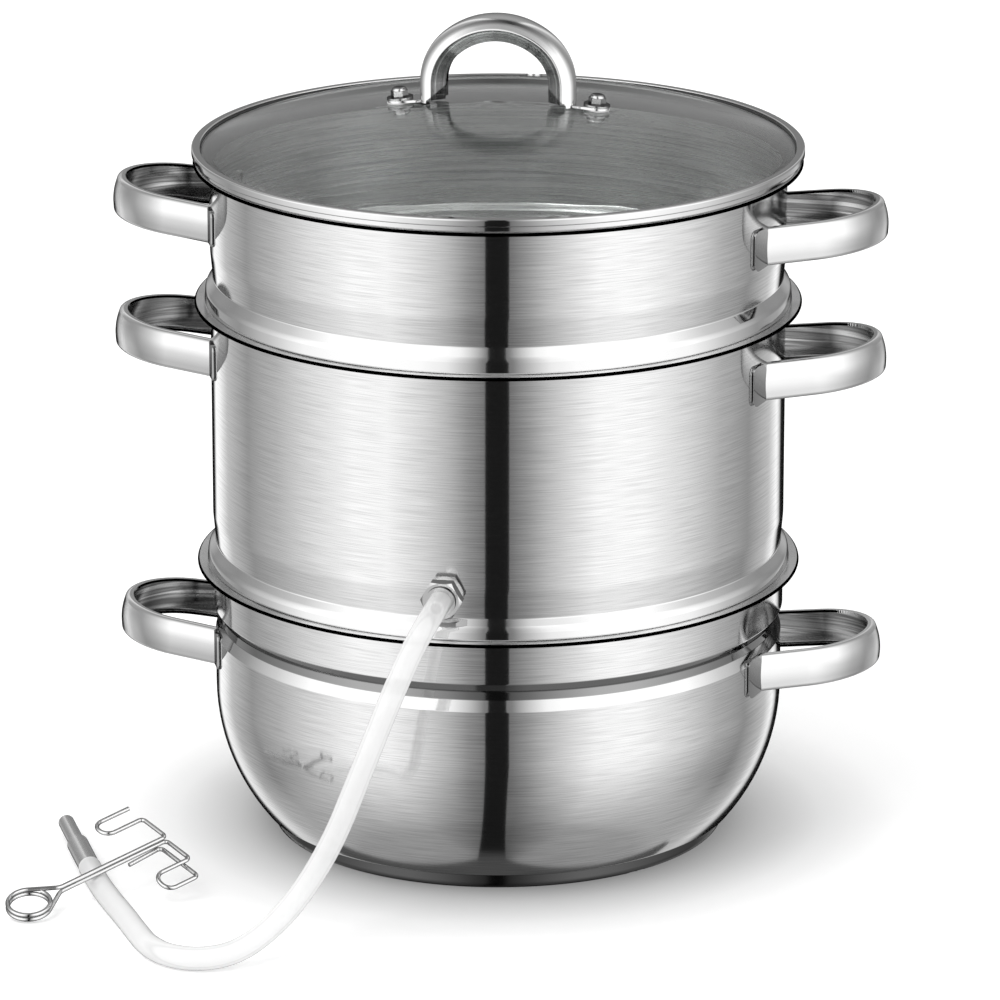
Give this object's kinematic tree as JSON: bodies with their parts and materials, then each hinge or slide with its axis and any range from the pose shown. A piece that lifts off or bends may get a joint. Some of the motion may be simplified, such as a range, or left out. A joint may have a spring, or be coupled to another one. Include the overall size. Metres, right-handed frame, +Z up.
{
  "type": "steam juicer",
  "caption": "Stacked steam juicer in brushed steel: nested water pan, juice kettle and perforated basket, glass lid with an arch handle, loop side handles, outlet hose and wire clamp",
  "frame": {"origin": "middle of the base's underside, on the surface that the pan stands on", "axes": "+Z up along the pots' axis, -Y towards the juice outlet, +X towards the right-hand handles"},
  "size_m": [0.3585, 0.3552, 0.3656],
  "materials": {
    "brushed_wall": "horizontally brushed stainless steel",
    "polished_steel": "mirror polished stainless steel",
    "turned_steel": "bright turned steel",
    "base_steel": "satin stainless steel",
    "core_aluminium": "plain",
    "clear_glass": "clear tempered",
    "silicone": "translucent, slightly milky",
    "seal_rubber": "matt"
  },
  "bodies": {
    "water_pan": {"pan_body": "brushed_wall", "pan_base_core": "core_aluminium", "pan_base_cap": "base_steel", "pan_handle_left": "polished_steel", "pan_handle_right": "polished_steel"},
    "juice_kettle": {"kettle_body": "brushed_wall", "steam_cone": "base_steel", "kettle_handle_left": "polished_steel", "kettle_handle_right": "polished_steel", "outlet_spout": "turned_steel", "outlet_inner_seal": "seal_rubber", "outlet_outer_seal": "seal_rubber", "outlet_nut": "turned_steel", "juice_hose": "silicone", "hose_nozzle": "turned_steel", "clamp_base_wire": "polished_steel"},
    "clamp_lever": {"clamp_lever_wire": "polished_steel"},
    "fruit_basket": {"basket_body": "brushed_wall", "basket_handle_left": "polished_steel", "basket_handle_right": "polished_steel"},
    "lid": {"lid_glass": "clear_glass", "lid_rim": "polished_steel", "lid_rim_seal": "seal_rubber", "lid_handle": "polished_steel", "lid_screws": "turned_steel", "lid_cap_nuts": "turned_steel", "lid_washers": "turned_steel", "lid_lower_washers": "turned_steel", "lid_upper_seals": "seal_rubber", "lid_lower_seals": "seal_rubber", "steam_vent": "turned_steel"}
  },
  "joints": [
    {"name": "kettle_lift", "type": "slide", "parent": "water_pan", "child": "juice_kettle", "axis": [0, 0, 1], "range_m": [0, 0.06]},
    {"name": "basket_lift", "type": "slide", "parent": "juice_kettle", "child": "fruit_basket", "axis": [0, 0, 1], "range_m": [0, 0.06]},
    {"name": "lid_lift", "type": "slide", "parent": "fruit_basket", "child": "lid", "axis": [0, 0, 1], "range_m": [0, 0.08]},
    {"name": "clamp_open", "type": "hinge", "parent": "juice_kettle", "child": "clamp_lever", "pos_m": [-0.1776, -0.1633, 0.0043], "axis": [0.0356, -0.2871, 0.9572], "range_deg": [0, 12], "stiffness_Nm_per_rad": 0.3}
  ]
}
